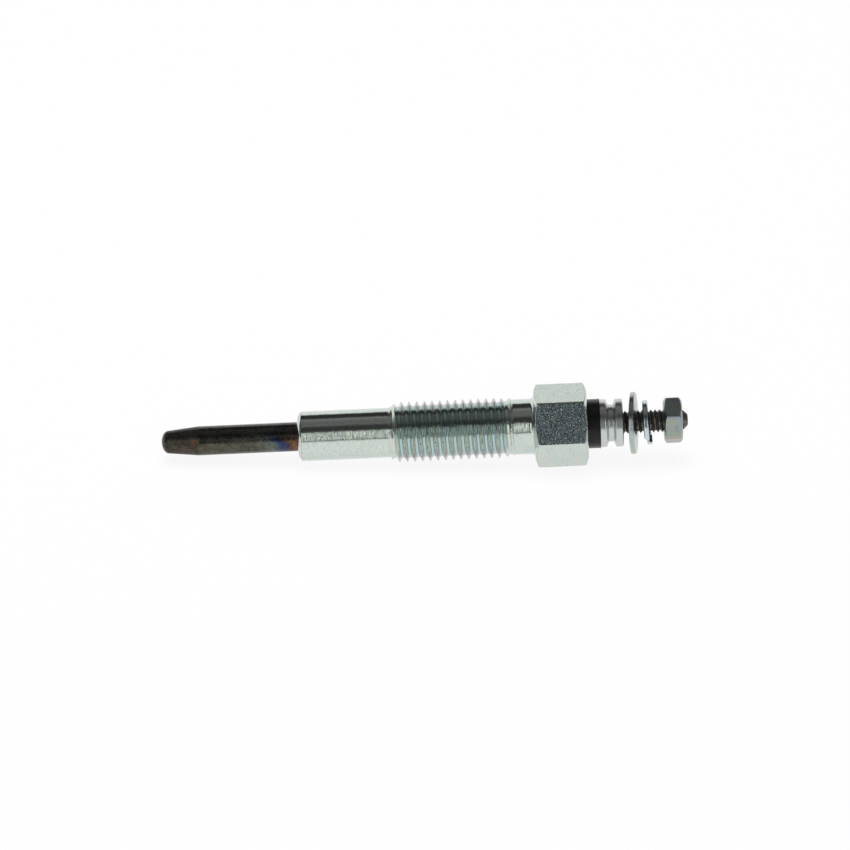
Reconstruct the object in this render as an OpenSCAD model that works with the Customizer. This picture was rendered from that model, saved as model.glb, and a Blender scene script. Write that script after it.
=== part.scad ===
// Diesel glow plug: a sheathed heater pressed into a threaded housing, with an insulated
// terminal stud, its loose washers and its nut. The plug lies on a flat of its hexagon, with
// its axis along X, the heater tip towards -X and the terminal towards +X. The origin is on
// the axis at the front edge of the housing, where the sealing cone begins.

/* [Glow tube] */
// Outer diameter of the tube
tube_d = 4.75; // [4.5:0.05:5.4]
// Wall of the tube
tube_wall = 0.5; // [0.3:0.05:0.6]
// Length of the tube in front of the housing
tube_reach = 22.9; // [18:0.1:32]
// Length of the tube held in the housing
tube_grip = 18; // [10:0.5:22]
// Diameter of the swaged tip, where its cone meets the end
tip_d = 3.5; // [3.3:0.05:4]
// Length of the swaged cone
tip_taper = 6.1; // [4:0.1:8]
// Rounding of the tip
tip_round = 0.9; // [0.5:0.05:1.1]
// Thickness of the welded end
tip_wall = 0.8; // [0.6:0.05:1.2]

/* [Coils] */
// Mean diameter of both coils
coil_d = 1.8; // [1.7:0.05:2]
// Diameter of the wire
wire_d = 0.3; // [0.2:0.02:0.36]
// Length of the heating coil
heating_len = 7.4; // [5:0.1:10]
// Turns of the heating coil
heating_turns = 12; // [6:1:14]
// Turns of the control coil
control_turns = 15; // [8:1:18]

/* [Housing] */
// Diameter of the plain fore-body
fore_d = 8.1; // [7.6:0.05:8.6]
// Length of the plain fore-body
fore_len = 14.5; // [10:0.1:20]
// Length of the sealing cone in front of the fore-body
cone_len = 0.68; // [0.5:0.02:1]
// Width of the flat rim between the tube and the sealing cone
nose_rim = 0.7; // [0.3:0.01:0.9]
// Radius of the swell of the sealing cone
cone_swell = 1.6; // [1.2:0.05:3]
// Outside diameter of the thread
thread_d = 9.8; // [9.6:0.05:10]
// Length of the thread
thread_len = 19.8; // [14:0.1:26]
// Length of the chamfer at each end of the thread
thread_lead = 1; // [0.3:0.05:1.5]
// Diameter of the neck between thread and hexagon
neck_d = 9; // [8.8:0.05:9.2]
// Length of the neck
neck_len = 3.48; // [2:0.02:6]
// Fillet between neck and hexagon
neck_fillet = 0.75; // [0.3:0.05:0.9]
// Extra diameter of the bore behind the tube
bore_relief = 0.45; // [0.2:0.05:0.8]

/* [Hexagon] */
// Size across the flats
hex_af = 11.8; // [11.6:0.05:13]
// Diameter over the rounded corners
hex_over = 13.5; // [13.2:0.05:14.6]
// Length of the hexagon
hex_len = 8.62; // [7:0.02:12]
// Diameter of the turned face at each end
hex_face_d = 11.3; // [10.8:0.05:11.4]
// Slope of the corner chamfers
hex_chamfer = 25; // [10:1:35]
// Rounding from the chamfers into the corners
hex_round = 0.3; // [0.2:0.05:0.8]
// Diameter of the counterbore that holds the seal and the bush
counterbore_d = 6.4; // [6.2:0.05:7]
// Depth of the counterbore
counterbore_depth = 6; // [4.8:0.1:6.5]

/* [Terminal] */
// Diameter of the terminal rod in the tube
pin_d = 2.8; // [2.4:0.05:3]
// Length of the spigot that the control coil is welded on
spigot_len = 2; // [1:0.1:3]
// Length of the thin rod that shows behind the tube
pin_proud = 0.6; // [0.2:0.1:2]
// Diameter of the rod behind the tube
rod_d = 3.45; // [3.2:0.05:3.6]
// Outside diameter of the terminal thread
stud_d = 3.8; // [3.7:0.02:4]
// Length of the stud behind the round nut
stud_len = 10.55; // [10:0.05:14]
// Chamfer at the end of the stud
stud_chamfer = 0.95; // [0.3:0.05:1.2]
// Length of the rubber seal in the mouth of the tube
tube_seal_len = 2.5; // [1.5:0.1:4]
// Length of the rubber seal in the counterbore
rod_seal_len = 2.6; // [1.5:0.1:3.2]

/* [Insulating bush] */
// Diameter of the flange
flange_d = 8; // [7.4:0.05:8.4]
// Thickness of the flange
flange_t = 2; // [1.4:0.05:3]
// Height of the moulding lip round its outer edge
lip_h = 0.1; // [0.04:0.01:0.15]
// Width of the moulding lip
lip_w = 0.2; // [0.1:0.02:0.3]

/* [Round nut] */
// Diameter of the round nut
round_d = 7.8; // [7:0.05:8.2]
// Width of its front ring
round_front = 1.03; // [0.8:0.01:1.5]
// Width of its back ring
round_back = 1.2; // [0.8:0.01:1.6]
// Diameter at the bottom of the rolled groove
groove_d = 6.05; // [5.6:0.05:6.6]
// Width of the groove at its bottom
groove_w = 0.83; // [0.5:0.01:1.2]
// Run of each sloping side of the groove
groove_slope = 0.34; // [0.1:0.02:0.5]
// Chamfer at the back edge
round_chamfer = 0.15; // [0.05:0.01:0.3]

/* [Washers] */
// Outside diameter of the flat washer
washer_d = 10.1; // [8.5:0.1:11]
// Hole of the flat washer
washer_hole = 4.3; // [4.2:0.05:4.6]
// Thickness of the flat washer
washer_t = 0.8; // [0.5:0.05:1]
// Distance from the round nut to the middle of the flat washer
washer_place = 1.75; // [1.2:0.05:1.9]
// Swing of the flat washer on the stud, in degrees
washer_swing = 6.6; // [0:0.1:7]
// Lean of its top towards the heater end, in degrees
washer_lean = 1.9; // [0:0.1:3]
// Outside diameter of the spring washer
spring_d = 7.3; // [6.8:0.05:7.8]
// Hole of the spring washer
spring_hole = 4.3; // [4.2:0.05:4.5]
// Thickness of the spring washer
spring_t = 0.85; // [0.6:0.05:1]
// Set of its two ends along the stud
spring_set = 0.5; // [0.3:0.05:0.7]
// Open angle between its ends
spring_gap = 10; // [8:1:30]
// Slant of its cut ends, as an angle round the stud
spring_slant = 14; // [0:1:20]
// Place of that gap, from straight down towards -Y
spring_turn = 60; // [0:1:90]
// Lean of its top towards the heater end, in degrees
spring_lean = 3.2; // [0:0.1:4]
// Distance from the round nut to the middle of the spring washer
spring_place = 3.9; // [3.7:0.05:4.4]

/* [Terminal nut] */
// Size across the flats
nut_af = 6.85; // [6.7:0.05:7.2]
// Diameter over its rounded corners
nut_over = 7.74; // [7.5:0.02:8.1]
// Thickness of the nut
nut_t = 2.95; // [2.6:0.05:3.4]
// Length of stud that shows past the nut
nut_proud = 0.95; // [0.3:0.05:1]
// Turn of the nut from a corner at the top, towards -Y
nut_turn = 51; // [0:1:59]
// Diameter of its turned faces
nut_face_d = 6.3; // [6:0.05:6.8]
// Slope of its corner chamfers
nut_chamfer = 30; // [10:1:35]
// Rounding from the chamfers into the corners
nut_round = 0.45; // [0.2:0.05:0.6]

/* [Fits] */
// Gap left between pieces that are pressed or seated together
seat_gap = 0.01; // [0.005:0.005:0.03]
// Gap round the wire in its channel of powder
wire_gap = 0.03; // [0.02:0.01:0.05]
// Gap between the stud and what is threaded or slipped over it
thread_gap = 0.03; // [0.02:0.01:0.05]

/* [Hidden] */
$fn = 96;
wire_sides = 6;
turn_steps = 14;
spring_steps = 48;
overshoot = 1;
tuck = 0.05;

// Stations along the axis
tip_x = -tube_reach;
thread_x = fore_len;
neck_x = thread_x + thread_len;
hex_x = neck_x + neck_len;
back_x = hex_x + hex_len;
counterbore_x = back_x - counterbore_depth;
round_x = back_x + seat_gap + flange_t + seat_gap;
round_len = round_front + groove_slope + groove_w + groove_slope + round_back;
stud_x = round_x + round_len;
stud_end = stud_x + stud_len;
nut_x = stud_end - nut_proud - nut_t;

// Radii that follow from the sizes above
tube_r = tube_d / 2;
tube_bore = tube_r - tube_wall;
fore_r = fore_d / 2;
cone_r = tube_r + nose_rim;
bore_d = tube_d + bore_relief;

// Sealing cone: its two edges, and the centre of the arc that swells between them
cone_front = [cone_r, -cone_len];
cone_back = [fore_r, 0];
cone_chord = cone_back - cone_front;
cone_inward = [-cone_chord[1], cone_chord[0]] / norm(cone_chord);
cone_depth = sqrt(pow(cone_swell, 2) - pow(norm(cone_chord) / 2, 2));
cone_centre = (cone_front + cone_back) / 2 + cone_depth * cone_inward;

// Swaged end of the tube: the cone, and the arc that rounds it into the flat end
taper_slope = atan((tube_d - tip_d) / 2 / tip_taper);
round_r = tip_d / 2 + tip_round * tan(taper_slope) - tip_round / cos(taper_slope);
cone_start = [round_r + tip_round * cos(taper_slope), tip_x + tip_round - tip_round * sin(taper_slope)];

// Coils: the heating coil starts on the welded tip, and the control coil follows it to the
// shoulder of the rod
shoulder_x = 0;
coil_front = tip_x + tip_wall + wire_gap;
coil_joint = coil_front + heating_len;
coil_back = shoulder_x - wire_gap;
spigot_x = shoulder_x - spigot_len;
coil_r = coil_d / 2;
wire_r = wire_d / 2;
core_r = coil_r - wire_r - wire_gap;

// Turns a shape that stands on Z so that it lies along X
module along_x(x = 0) {
    translate([x, 0, 0]) rotate([0, 90, 0]) children();
}

// Solid of revolution about X from an outline of [radius, place along X]
module turned(outline) {
    along_x() rotate_extrude() polygon(outline);
}

// Plain cylinder about X
module bar(d, from, to) {
    along_x(from) cylinder(d = d, h = to - from);
}

// Hexagon about X, within a turned form that has a face, a chamfer and an arc at both ends
module turned_hexagon(af, over, length, face_d, slope, round, turn) {
    edge = over / 2;
    hub = edge - round;
    arc_end = (hub - face_d / 2) * tan(slope) + round / cos(slope);
    arc_start = arc_end - round * cos(slope);
    foot = hub + round * sin(slope);
    front = [[0, 0], [face_d / 2, 0], [foot, arc_start], [edge, arc_end]];
    back = [for (i = [3 : -1 : 0]) [front[i][0], length - front[i][1]]];
    intersection() {
        along_x() rotate([0, 0, turn]) cylinder(d = af / cos(30), h = length, $fn = 6);
        along_x() rotate_extrude() {
            polygon(concat(front, back));
            corner_arc(hub, arc_end, round, [foot, arc_start], [edge, arc_end]);
            corner_arc(hub, length - arc_end, round, [foot, length - arc_end], [edge, length - arc_start]);
        }
    }
}

// Part of a circle that lies in a box, given by its two opposite corners
module corner_arc(x, y, r, low, high) {
    intersection() {
        translate([x, y]) circle(r);
        translate(low) square(high - low);
    }
}

// Points of one ring of wire round the coil's path
function wire_ring(angle, x) = [
    for (side = [0 : wire_sides - 1])
        let (turn = side * 360 / wire_sides, r = coil_r + wire_r * cos(turn))
        [x + wire_r * sin(turn), r * cos(angle), r * sin(angle)]
];

// Faces of a tube of rings with flat ends
function sweep_faces(rings, sides) = concat(
    [[for (i = [0 : sides - 1]) i]],
    [for (k = [0 : rings - 2], i = [0 : sides - 1])
        let (a = k * sides + i, b = k * sides + (i + 1) % sides)
        [a, a + sides, b + sides, b]],
    [[for (i = [sides - 1 : -1 : 0]) (rings - 1) * sides + i]]
);

// Wire coil between two stations, wound right-handed
module coil(from, to, turns) {
    rings = turns * turn_steps + 1;
    climb = to - from - wire_d;
    points = [
        for (k = [0 : rings - 1])
            each wire_ring(k * 360 / turn_steps, from + wire_r + climb * k / (rings - 1))
    ];
    polyhedron(points, sweep_faces(rings, wire_sides), convexity = 10);
}

// Inside or outside of the tube, set in from its outer face by skin and from its end by floor
module tube_form(skin, floor, back) {
    shift = skin / cos(taper_slope);
    along_x() rotate_extrude() polygon([
        [0, tip_x + floor],
        [tip_d / 2 + floor * tan(taper_slope) - shift, tip_x + floor],
        [tube_r - skin, tip_x + tip_taper + (shift - skin) / tan(taper_slope)],
        [tube_r - skin, back],
        [0, back]
    ]);
}

module tube_outside() {
    along_x() rotate_extrude() {
        polygon([
            [0, tip_x], [round_r, tip_x], cone_start,
            [tube_r, tip_x + tip_taper], [tube_r, tube_grip], [0, tube_grip]
        ]);
        corner_arc(round_r, tip_x + tip_round, tip_round, [0, tip_x], cone_start);
    }
}

// Steel body: sealing cone, fore-body, thread, neck and hexagon on one bore
module housing() {
    color("lightsteelblue") difference() {
        union() {
            along_x() rotate_extrude() {
                polygon([
                    [0, -cone_len], cone_front - [tuck, 0], cone_back,
                    [fore_r, thread_x], [thread_d / 2, thread_x + thread_lead],
                    [thread_d / 2, neck_x - thread_lead], [neck_d / 2, neck_x],
                    [neck_d / 2, hex_x], [0, hex_x]
                ]);
                corner_arc(cone_centre[0], cone_centre[1], cone_swell, [0, -cone_len], cone_back);
            }
            neck_blend();
            translate([hex_x, 0, 0])
                turned_hexagon(hex_af, hex_over, hex_len, hex_face_d, hex_chamfer, hex_round, 30);
        }
        bar(tube_d + 2 * seat_gap, -cone_len - overshoot, tube_grip + seat_gap);
        bar(bore_d, tube_grip, back_x + overshoot);
        bar(counterbore_d, counterbore_x, back_x + overshoot);
    }
}

module neck_blend() {
    along_x() rotate_extrude() translate([neck_d / 2, hex_x - neck_fillet]) difference() {
        square(neck_fillet);
        translate([neck_fillet, 0]) circle(neck_fillet);
    }
}

// Closed heat-proof tube, pressed into the front of the housing
module glow_tube() {
    color("dimgray") difference() {
        tube_outside();
        tube_form(tube_wall, tip_wall, tube_grip + overshoot);
    }
}

module heating_coil() {
    color("peru") coil(coil_front, coil_joint - seat_gap, heating_turns);
}

module control_coil() {
    color("darkkhaki") coil(coil_joint + seat_gap, coil_back, control_turns);
}

// Packed powder: a sleeve outside the coils and round the rod, and a core inside the coils
module insulating_powder() {
    channel = coil_d + wire_d + 2 * wire_gap;
    powder_end = tube_grip - tube_seal_len - seat_gap;
    color("whitesmoke") {
        difference() {
            tube_form(tube_wall + seat_gap, tip_wall + seat_gap, powder_end);
            bar(channel, tip_x, shoulder_x);
            bar(pin_d + 2 * seat_gap, shoulder_x - seat_gap, powder_end + overshoot);
        }
        bar(2 * core_r, tip_x + tip_wall + seat_gap, spigot_x - seat_gap);
    }
}

// Steel rod from the control coil to the threaded terminal
module terminal_rod() {
    step_x = tube_grip + pin_proud;
    color("#3a3430") turned([
        [0, spigot_x], [core_r, spigot_x], [core_r, shoulder_x], [pin_d / 2, shoulder_x],
        [pin_d / 2, step_x], [rod_d / 2, step_x + (rod_d - pin_d) / 2],
        [rod_d / 2, back_x], [stud_d / 2, back_x + (stud_d - rod_d) / 2],
        [stud_d / 2, stud_end - stud_chamfer],
        [stud_d / 2 - stud_chamfer, stud_end], [0, stud_end]
    ]);
}

// Rubber ring that closes the mouth of the tube round the rod
module tube_seal() {
    color("#2b2b2b") difference() {
        bar(2 * (tube_bore - seat_gap), tube_grip - tube_seal_len, tube_grip);
        bar(pin_d + 2 * seat_gap, tube_grip - tube_seal_len - overshoot, tube_grip + overshoot);
    }
}

// Rubber seal between the rod and the counterbore, with two lips on its outside
module rod_seal() {
    lip = rod_seal_len / 3;
    bevel = lip / 4;
    outer = counterbore_d / 2 - seat_gap;
    inner = rod_d / 2 + seat_gap;
    waist = (outer + inner) / 2;
    start = counterbore_x + seat_gap;
    color("#2b2b2b") turned([
        [inner, start], [outer, start], [outer, start + lip], [waist, start + lip + bevel],
        [waist, start + 2 * lip - bevel], [outer, start + 2 * lip],
        [outer, start + rod_seal_len], [inner, start + rod_seal_len]
    ]);
}

// Black bush: a sleeve in the counterbore and a flange that keeps the round nut off the housing
module insulating_bush() {
    face = back_x + seat_gap;
    back = face + flange_t;
    sleeve_x = counterbore_x + rod_seal_len + 2 * seat_gap;
    sleeve_r = counterbore_d / 2 - seat_gap;
    hole = stud_d / 2 + thread_gap;
    color("#181818") turned([
        [hole, sleeve_x], [sleeve_r, sleeve_x], [sleeve_r, face], [flange_d / 2, face],
        [flange_d / 2, back - lip_w], [flange_d / 2 + lip_h, back - lip_w / 2],
        [flange_d / 2 + lip_h, back], [hole, back]
    ]);
}

// Round nut, locked on the stud by the groove that is rolled into it
module round_nut() {
    hole = stud_d / 2 + seat_gap;
    edge = round_d / 2;
    side_a = round_x + round_front;
    side_b = side_a + groove_slope;
    side_c = side_b + groove_w;
    side_d = side_c + groove_slope;
    color("silver") turned([
        [hole, round_x], [edge, round_x], [edge, side_a], [groove_d / 2, side_b],
        [groove_d / 2, side_c], [edge, side_d], [edge, stud_x - round_chamfer],
        [edge - round_chamfer, stud_x], [hole, stud_x]
    ]);
}

// Loose washer that hangs on the stud, swung a little to one side and leaning
module flat_washer() {
    drop = (washer_hole - stud_d - washer_t * sin(washer_lean)) / 2 - thread_gap;
    color("gainsboro") translate([stud_x + washer_place, 0, -drop])
        rotate([0, -washer_lean, -washer_swing]) difference() {
            bar(washer_d, -washer_t / 2, washer_t / 2);
            bar(washer_hole, -washer_t, washer_t);
        }
}

// Corners of the split washer's flat bar at one place along its turn
function spring_corners(angle, sweep) = [
    for (corner = [[-1, spring_hole], [-1, spring_d], [1, spring_d], [1, spring_hole]])
        let (turn = angle + corner[0] * spring_slant / 2, r = corner[1] / 2)
        [
            corner[0] * spring_t / 2 + spring_set * (0.5 - turn / sweep),
            r * cos(turn),
            r * sin(turn)
        ]
];

// Loose split washer: a flat bar wound left-handed into most of one turn, with its ends set apart
module spring_washer() {
    drop = (spring_hole - stud_d - spring_t * sin(spring_lean)) / 2 - thread_gap;
    sweep = 360 - spring_gap;
    points = [for (k = [0 : spring_steps]) each spring_corners(k / spring_steps * sweep, sweep)];
    color("lightsteelblue") translate([stud_x + spring_place, 0, -drop])
        rotate([0, -spring_lean, 0]) rotate([spring_gap / 2 - spring_turn - 90, 0, 0])
            polyhedron(points, sweep_faces(spring_steps + 1, 4), convexity = 6);
}

// Hexagon nut near the end of the stud
module terminal_nut() {
    color("darkgray") difference() {
        translate([nut_x, 0, 0])
            turned_hexagon(nut_af, nut_over, nut_t, nut_face_d, nut_chamfer, nut_round, nut_turn);
        bar(stud_d + 2 * thread_gap, nut_x - overshoot, stud_end + overshoot);
    }
}

housing();
glow_tube();
heating_coil();
control_coil();
insulating_powder();
terminal_rod();
tube_seal();
rod_seal();
insulating_bush();
round_nut();
flat_washer();
spring_washer();
terminal_nut();
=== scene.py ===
"""Dressed model of a diesel glow plug that lies on a pale table.

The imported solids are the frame. Each visible piece is built again over its solid with its thread,
rounded edges and finish, in metres and in the same place. Sizes in the classes are in millimetres.
"""

import logging
import math
from collections.abc import Callable, Mapping, Sequence
from dataclasses import dataclass
from enum import Enum

import bmesh
import bpy
from mathutils import Matrix, Vector


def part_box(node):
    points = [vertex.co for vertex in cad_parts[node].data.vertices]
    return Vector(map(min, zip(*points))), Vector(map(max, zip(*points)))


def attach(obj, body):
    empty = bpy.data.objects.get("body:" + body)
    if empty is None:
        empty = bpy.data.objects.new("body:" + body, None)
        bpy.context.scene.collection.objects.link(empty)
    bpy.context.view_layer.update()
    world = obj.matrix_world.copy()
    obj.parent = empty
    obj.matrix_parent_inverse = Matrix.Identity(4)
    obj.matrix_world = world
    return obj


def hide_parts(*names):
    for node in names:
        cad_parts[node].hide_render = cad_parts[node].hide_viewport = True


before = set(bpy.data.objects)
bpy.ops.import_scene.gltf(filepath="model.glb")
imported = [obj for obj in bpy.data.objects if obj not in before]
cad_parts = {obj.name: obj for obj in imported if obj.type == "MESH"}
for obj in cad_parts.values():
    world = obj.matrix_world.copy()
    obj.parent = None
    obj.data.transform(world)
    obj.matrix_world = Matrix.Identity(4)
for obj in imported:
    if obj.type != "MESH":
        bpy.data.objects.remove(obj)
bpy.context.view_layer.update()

MM = 0.001
FULL_TURN = 2 * math.pi
LOG = logging.getLogger("glow_plug")

Point = tuple[float, float]
Triple = tuple[float, float, float]
Colour = Triple

SIXTH = FULL_TURN / 6

# Largest share of a straight stretch that the arc at one of its ends takes up.
ARC_SHARE = 0.48

# Direction square to the axis, up the side seen in front: the sheath's temper colours bend along it, and
# painted shade follows it on the sheath's upper side and at the thread's top and bottom.
UPWARD: Triple = (0.0, 0.477, 0.879)


def grey(level: float) -> Colour:
    """Neutral colour of a level."""
    return (level, level, level)


class Slot(Enum):
    """Material slots of the record."""

    ZINC_BODY = "zinc_body"
    TUBE_ALLOY = "tube_alloy"
    HEATING_WIRE = "heating_wire"
    CONTROL_WIRE = "control_wire"
    POWDER = "powder"
    BLACK_STEEL = "black_steel"
    SEAL_RUBBER = "seal_rubber"
    BUSH_PLASTIC = "bush_plastic"
    TURNED_METAL = "turned_metal"
    ZINC_WASHER = "zinc_washer"
    NUT_STEEL = "nut_steel"


class Blend(Enum):
    """Ways of mixing two colours."""

    MIX = "MIX"
    MULTIPLY = "MULTIPLY"


class Value:
    """Shader socket that takes part in Python expressions."""

    def __init__(self, graph: "Graph", socket: bpy.types.NodeSocket) -> None:
        """Wraps an output socket of a graph."""
        self.graph = graph
        self.socket = socket

    def math(self, operation: str, *others: "Value | float") -> "Value":
        """Adds a Math node.

        Args:
            operation: Name of the Math node's operation.
            others: Values of the sockets after the first.

        Returns:
            The node's result.
        """
        inputs = dict(enumerate((self, *others)))
        return self.graph.node("ShaderNodeMath", {"operation": operation}, inputs)

    def reflected(self, operation: str, first: float) -> "Value":
        """Adds a Math node with a plain number in its first socket."""
        return self.graph.node("ShaderNodeMath", {"operation": operation}, {0: first, 1: self})

    def __add__(self, other: "Value | float") -> "Value":
        """Sum of two values."""
        return self.math("ADD", other)

    __radd__ = __add__

    def __sub__(self, other: "Value | float") -> "Value":
        """Difference of two values."""
        return self.math("SUBTRACT", other)

    def __rsub__(self, other: float) -> "Value":
        """Difference from a number on the left."""
        return self.reflected("SUBTRACT", other)

    def __mul__(self, other: "Value | float") -> "Value":
        """Product of two values."""
        return self.math("MULTIPLY", other)

    __rmul__ = __mul__

    def __truediv__(self, other: "Value | float") -> "Value":
        """Quotient of two values."""
        return self.math("DIVIDE", other)

    def __pow__(self, other: float) -> "Value":
        """Power of a value."""
        return self.math("POWER", other)

    def __neg__(self) -> "Value":
        """Value with its sign changed."""
        return self.math("MULTIPLY", -1.0)

    def __abs__(self) -> "Value":
        """Value without its sign."""
        return self.math("ABSOLUTE")

    def ramp(self, start: float, end: float) -> "Value":
        """Smooth step of this value.

        Args:
            start: Value at which the step is 0.
            end: Value at which the step is 1, which may be below the start.

        Returns:
            A value from 0 to 1.
        """
        low, high = min(start, end), max(start, end)
        settings = {"interpolation_type": "SMOOTHSTEP"}
        step = self.graph.node("ShaderNodeMapRange", settings, {0: self, 1: low, 2: high})
        return step if end > start else 1 - step

    def between(self, low: float, high: float, soft: float) -> "Value":
        """Mask of the values between two limits, with soft borders."""
        return self.ramp(low - soft, low + soft) * self.ramp(high + soft, high - soft)


class Graph:
    """Node tree under construction."""

    def __init__(self, tree: bpy.types.NodeTree) -> None:
        """Takes over a node tree and empties it."""
        self.tree = tree
        tree.nodes.clear()

    def node(
        self,
        kind: str,
        settings: Mapping[str, object] | None = None,
        inputs: Mapping[int | str, object] | None = None,
        output: int | str = 0,
    ) -> Value:
        """Adds a node.

        Args:
            kind: Type name of the node.
            settings: Properties that are set first; "stops" holds a colour ramp's stops.
            inputs: Numbers, colours or other values by socket.
            output: Socket to return.

        Returns:
            The chosen output.
        """
        node = self.tree.nodes.new(kind)
        for name, setting in (settings or {}).items():
            if name == "stops":
                self.set_stops(node.color_ramp, setting)
            else:
                setattr(node, name, setting)
        for key, value in (inputs or {}).items():
            socket = node.inputs[key]
            if isinstance(value, Value):
                self.tree.links.new(value.socket, socket)
            elif socket.type == "RGBA" and len(value) == 3:
                socket.default_value = (*value, 1.0)
            else:
                socket.default_value = value
        return Value(self, node.outputs[output] if node.outputs else None)

    @staticmethod
    def set_stops(ramp: bpy.types.ColorRamp, stops: Sequence[tuple[float, Colour]]) -> None:
        """Gives a colour ramp its stops.

        Args:
            ramp: Ramp of a node.
            stops: Place and colour of each stop, in order.
        """
        while len(ramp.elements) < len(stops):
            ramp.elements.new(1.0)
        for element, (place, colour) in zip(ramp.elements, stops):
            element.position = place
            element.color = (*colour, 1.0)

    def mix(
        self, factor: Value | float, first: Value | Colour, second: Value | Colour, blend: Blend = Blend.MIX
    ) -> Value:
        """Mixes two colours.

        Args:
            factor: Share of the second colour.
            first: Colour at a factor of 0.
            second: Colour at a factor of 1.
            blend: Way of mixing.

        Returns:
            The mixed colour.
        """
        settings = {"data_type": "RGBA", "blend_type": blend.value}
        return self.node("ShaderNodeMix", settings, {0: factor, 6: first, 7: second}, 2)

    def ramp(self, factor: Value, stops: Sequence[tuple[float, Colour]]) -> Value:
        """Colour ramp over a value from 0 to 1."""
        return self.node("ShaderNodeValToRGB", {"stops": stops}, {0: factor})

    def place(self) -> Value:
        """Place on the object, in millimetres."""
        metres = self.node("ShaderNodeTexCoord", output="Object")
        return self.scaled(metres, (1 / MM,) * 3)

    def vector(self, operation: str, first: Value, second: Triple, output: int | str = 0) -> Value:
        """Vector Math of a vector and a constant one."""
        return self.node("ShaderNodeVectorMath", {"operation": operation}, {0: first, 1: second}, output)

    def scaled(self, vector: Value, scale: Triple) -> Value:
        """Vector multiplied by a scale for each axis."""
        return self.vector("MULTIPLY", vector, scale)

    def shaded(self, colour: Value, shade: Value) -> Value:
        """Colour multiplied by a grey shade."""
        grey = self.node("ShaderNodeCombineColor", inputs={0: shade, 1: shade, 2: shade})
        return self.mix(1.0, colour, grey, Blend.MULTIPLY)

    def axes(self, vector: Value) -> tuple[Value, Value, Value]:
        """Splits a vector into its three components."""
        source = self.node("ShaderNodeSeparateXYZ", inputs={0: vector})
        return tuple(Value(self, socket) for socket in source.socket.node.outputs)

    def noise(self, place: Value, scale: float, detail: float = 2.0, distortion: float = 0.0) -> Value:
        """Cloudy noise from 0 to 1.

        Args:
            place: Vector in millimetres.
            scale: Features per millimetre.
            detail: Octaves of finer noise.
            distortion: How far the noise bends itself.

        Returns:
            The noise.
        """
        inputs = {"Vector": place, "Scale": scale, "Detail": detail, "Distortion": distortion}
        return self.node("ShaderNodeTexNoise", inputs=inputs)

    def bump(self, height: Value, depth: float) -> Value:
        """Normal of a surface with a height map, whose height of 1 is a depth in millimetres."""
        inputs = {"Strength": 1.0, "Distance": depth * MM, "Height": height}
        return self.node("ShaderNodeBump", inputs=inputs)

    def surface(self, **sockets: object) -> None:
        """Ends the tree in one Principled surface; a socket's name has _ for each space."""
        inputs = {name.replace("_", " "): value for name, value in sockets.items()}
        shader = self.node("ShaderNodeBsdfPrincipled", inputs=inputs)
        self.node("ShaderNodeOutputMaterial", inputs={"Surface": shader})


@dataclass(frozen=True)
class Finish:
    """Surface finish of a piece."""

    name: str

    def paint(self, graph: Graph) -> None:
        """Builds the nodes of the finish.

        Args:
            graph: Node tree of the material.
        """
        raise NotImplementedError

    def material(self) -> bpy.types.Material:
        """Makes the material of the finish.

        Returns:
            A new material.
        """
        material = bpy.data.materials.new(self.name)
        material.use_nodes = True
        self.paint(Graph(material.node_tree))
        return material


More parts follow.
